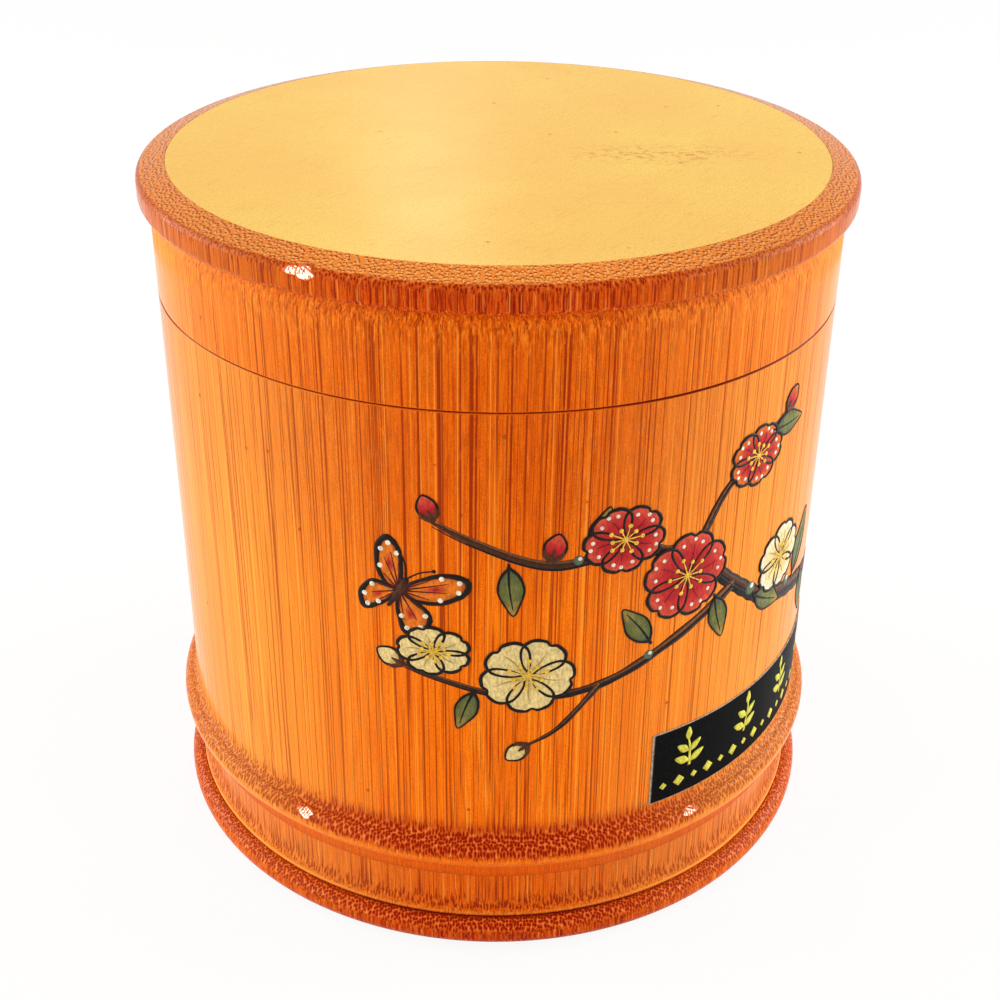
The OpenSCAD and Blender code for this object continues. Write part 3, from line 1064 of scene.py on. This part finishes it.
for sprig in range(sprigs):
    along = print_left + (print_right - print_left) * (sprig + 0.5) / sprigs
    foot_height = label_low + 5.2
    stem = laid(along, foot_height, 8.0, 6 if sprig % 2 else -6)
    stem_line = [stem((0, 0)), stem((0.03, 0.5)), stem((0, 0.72))]
    label_print.stroke(stem_line, [0.55, 0.4, 0.3], [print_lime] * 2, 0.0)
    for up, turn, size in sprig_leaves:
        joint = stem((0, up))
        label_print.fill(sprig_leaf, laid(*joint, size, turn), print_colour, 0.008, 4, 2)
lozenge = [(0, -0.6), (0.6, 0), (0, 0.6), (-0.6, 0), (0, -0.6)]
lozenges = 17
for number in range(lozenges):
    along = print_left + (print_right - print_left) * (number + 0.5) / lozenges
    size = 1.9 if number % 2 else 1.2
    label_print.fill(lozenge, laid(along, label_low + 2.9, size, 0), print_colour, 0.008, 1, 2)
label_print.piece("label_print", paint_film, "black_paper")

# Lid ring.
# The upper end of the same bamboo, parted from the body at the seam. A bead
# runs round its top, with a leaning shoulder under it and a bevel over it.
top_z = 116.5
lid_bore_r = 48.2
lid_rebate_r = 52.1
panel_low_z = 112.5
bead_nose_r = 55.3
bead_nose_z = 114.2
bead_round = 1.4
bevel = [(lid_rebate_r, top_z), (52.25, 116.47), (53.8, 116.05), (55.25, 115.63)]
bead_top = arc(bead_nose_r, bead_nose_z, bead_round, 84, 0, 14)
bead_low = arc(55.5, 112.2, 1.2, 0, -88, 10)
shoulder = [(54.2, 111.0), (54.02, 110.93)] + arc(48.4, 107.5, 6.6, 30, 0, 12)
lid_seam = [(54.75, seam_z), (54.82, 96.53), (54.97, 96.66), (wall_r, 96.73), (wall_r, 96.76)]
lid_wall = [(wall_r, height) for height in (97.0, 97.4, 100.0, 102.0, 104.0, 106.0)]
lid_outline = [(lid_bore_r, 96.7), (48.4, seam_z)] + lid_seam + lid_wall + shoulder[::-1] + bead_low[::-1]
lid_outline += bead_top[::-1] + bevel[::-1] + [(lid_rebate_r, panel_low_z), (lid_bore_r, panel_low_z)]


def lid_stain(radius, height, from_front):
    """How much stain the lid has drunk: most on the bead's face; its wall is made less dark."""
    if radius < 52.0:
        return 0.0
    bead_stain = between(height, 110.9, 111.4) * (1 - between(height, 115.4, 115.6))
    bead_stain *= 1 - 0.5 * between(abs(from_front + 2), 10, 42)
    wall_darkening = 0.44 * (1 - between(height, 110.9, 111.4))
    return max(bead_stain, wall_darkening)


def lid_spikes(radius, height, from_front):
    """How far the cut fibre ends show: points that hang from the bead's upper edge."""
    hanging = 0.85 * min(1.0, max(0.0, (height - 111.6) / 3.6))
    return hanging * (1 - between(height, 115.4, 115.6))


def lid_plain(radius, height, from_front):
    """Where lacquer has filled the grain: the edge at the seam."""
    return 1 - between(height, 96.72, 96.77)


def lid_mottled(radius, height, from_front):
    """The shoulder, where the fibres are cut at a slant and show as short flecks."""
    return between(height, 103.0, 107.5) * (1 - between(height, 110.95, 111.2))


def lid_painted_shade(radius, height, from_front):
    """Where shade is painted: on the bead's sides, in the corner under it, and in the seam."""
    aside = between(abs(from_front), 12, 45)
    face_shade = 0.38 + 0.2 * between(abs(from_front), 60, 90)
    bevel_shade = 0.16 + 0.3 * between(abs(from_front), 95, 150)
    bead_shade = aside * max(
        face_shade * band(height, 111.3, 115.4, 0.2),
        bevel_shade * between(height, 115.3, 115.6),
    )
    corner_crease = 0.5 * band(height, 110.8, 111.05, 0.1) * (1 - between(radius, 54.3, 54.9))
    seam_high = 96.58 + 0.3 * band(-from_front, 75, 100, 35) + 0.08 * band(from_front, 16, 100, 12)
    seam_crease = 1.1 * (1 - between(height, seam_high, seam_high + 0.12))
    return max(bead_shade, corner_crease, seam_crease)


def lid_golden_and_lit(radius, height, from_front):
    """The lid gets less of the faded gold and painted side light than the body."""
    far_aside = band(abs(from_front), 60, 110, 15)
    wall_faded = 0.7 * far_aside * (1 - between(height, 110.5, 111.3))
    return (0.5 + wall_faded) * golden_and_lit_side(radius, height, from_front)


def lid_bevel(radius, height, from_front):
    """The bevel round the panel, cut straight across the grain and stained least."""
    return between(height, 115.3, 115.55)


def lid_bare(radius, height, from_front):
    """The lid's bore is left without stain and lacquer."""
    return 1.0 if radius < 50.0 else 0.0


lid_zones = {
    "stain": lid_stain,
    "spikes": lid_spikes,
    "plain": lid_plain,
    "mottled": lid_mottled,
    "crease": lid_painted_shade,
    "golden_and_lit": lid_golden_and_lit,
    "bevel": lid_bevel,
    "bare": lid_bare,
}
lid_ring = turned("lid_ring_turned", lid_outline, lid_zones)
lid_ring.data.materials.append(lacquered_bamboo)
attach(lid_ring, "lid")
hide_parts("lid_ring")
bead_drops = [(-27.3, 22, 6.0, 2.3)]
lacquer_drops("lacquer_drop_bead", "lid", bead_nose_r, bead_nose_z, bead_round, bead_drops)

# Lid panel.
# A round panel of the same pale wood, let into the lid from above, flush with
# the bevel's edge, and lacquered over.
panel_outline = [(0.001, panel_low_z), (51.8, panel_low_z), (52.0, 112.7), (52.08, 116.3)]
panel_outline += [(52.06, 116.46), (52.02, top_z), (51.6, top_z), (0.001, top_z)]
lid_panel = turned("lid_panel_turned", panel_outline)
lid_panel.data.materials.append(pale_wood)
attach(lid_panel, "lid")
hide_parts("lid_panel")

# Stage.
# A plain white floor under plain soft light: broad panels at the sides and
# above, a small one behind for the lid's sheen, and two strips for the glints.
floor_corners = [(-4, -4, 0), (4, -4, 0), (4, 4, 0), (-4, 4, 0)]
studio_floor = new_piece("studio_floor", floor_corners, [(0, 1, 2, 3)])
floor_white, tree, shader = new_material("floor_white", 0.9, 1.2)
shader.inputs["Base Color"].default_value = (0.92, 0.92, 0.92, 1)


def is_shown(tree):
    """One for a ray from the camera, from a mirror or through glass, and nothing for other rays."""
    rays = linked(tree, "ShaderNodeLightPath").outputs
    shown = worked(tree, "MAXIMUM", rays["Is Camera Ray"], rays["Is Glossy Ray"])
    return worked(tree, "MAXIMUM", shown, rays["Is Transmission Ray"])


white_sheet = linked(tree, "ShaderNodeEmission", {"Color": (1, 1, 1, 1), "Strength": 1.0})
sheet_share = times(tree, is_shown(tree), 0.9)
floor_seen = linked(
    tree,
    "ShaderNodeMixShader",
    {0: sheet_share, 1: shader.outputs["BSDF"], 2: white_sheet.outputs["Emission"]},
)
tree.links.new(floor_seen.outputs["Shader"], tree.nodes["Material Output"].inputs["Surface"])
studio_floor.data.materials.append(floor_white)

world = bpy.data.worlds.new("studio")
bpy.context.scene.world = world
world.use_nodes = True
sky = world.node_tree.nodes["Background"]
sky.inputs["Color"].default_value = (1, 1, 1, 1)
sky_level = stepped(world.node_tree, is_shown(world.node_tree), 0.0, 1.0, 0.44, 1.0)
world.node_tree.links.new(sky_level, sky.inputs["Strength"])


def panel_light(name, azimuth, elevation, distance, width, height, watts, colour=(1, 1, 1)):
    """A flat lamp aimed at the canister, from an angle round the front and one above the table."""
    lamp = bpy.data.lights.new(name, "AREA")
    lamp.shape = "RECTANGLE"
    lamp.size = width
    lamp.size_y = height
    lamp.energy = watts
    lamp.color = colour
    holder = bpy.data.objects.new(name, lamp)
    turn = math.radians(azimuth)
    rise = math.radians(elevation)
    middle = 0.06
    outward = (math.sin(turn) * math.cos(rise), -math.cos(turn) * math.cos(rise), math.sin(rise))
    holder.location = (outward[0] * distance, outward[1] * distance, middle + outward[2] * distance)
    holder.rotation_euler = (math.pi / 2 - rise, 0, turn)
    bpy.context.collection.objects.link(holder)


panel_light("left_panel", -102, 16, 0.9, 0.6, 0.6, 6.5)
panel_light("right_panel", 102, 16, 0.9, 0.6, 0.6, 7.8)
panel_light("top_panel", 180, 80, 1.0, 0.6, 0.6, 1.4)
warm_white = (1.0, 0.91, 0.68)
panel_light("back_panel", 183.5, 24, 1.2, 0.09, 0.12, 0.5, warm_white)
panel_light("left_strip", -57.5, 14, 0.8, 0.13, 0.26, 2.2, warm_white)
panel_light("right_strip", 60, 14, 0.8, 0.11, 0.22, 1.4, warm_white)

# Camera.
# It looks down at the front of the canister from close by, a little rolled.
camera = bpy.data.cameras.new("camera")
camera.lens = 56.42
camera.sensor_width = 36.0
camera_holder = bpy.data.objects.new("camera", camera)
camera_at = (0.0, -0.24343, 0.19114)
pitch = math.radians(29.818)
yaw = math.radians(0.1828)
roll = math.radians(-0.6125)
ahead = (math.sin(yaw) * math.cos(pitch), math.cos(yaw) * math.cos(pitch), -math.sin(pitch))
level = (math.cos(yaw), -math.sin(yaw), 0.0)
below = (
    ahead[1] * level[2] - ahead[2] * level[1],
    ahead[2] * level[0] - ahead[0] * level[2],
    ahead[0] * level[1] - ahead[1] * level[0],
)
rows = []
for axis in range(3):
    sideways = math.cos(roll) * level[axis] + math.sin(roll) * below[axis]
    downward = -math.sin(roll) * level[axis] + math.cos(roll) * below[axis]
    rows.append((sideways, -downward, -ahead[axis], camera_at[axis]))
camera_holder.matrix_world = Matrix(rows + [(0, 0, 0, 1)])
bpy.context.collection.objects.link(camera_holder)
bpy.context.scene.camera = camera_holder

bpy.context.scene.view_settings.view_transform = "Standard"
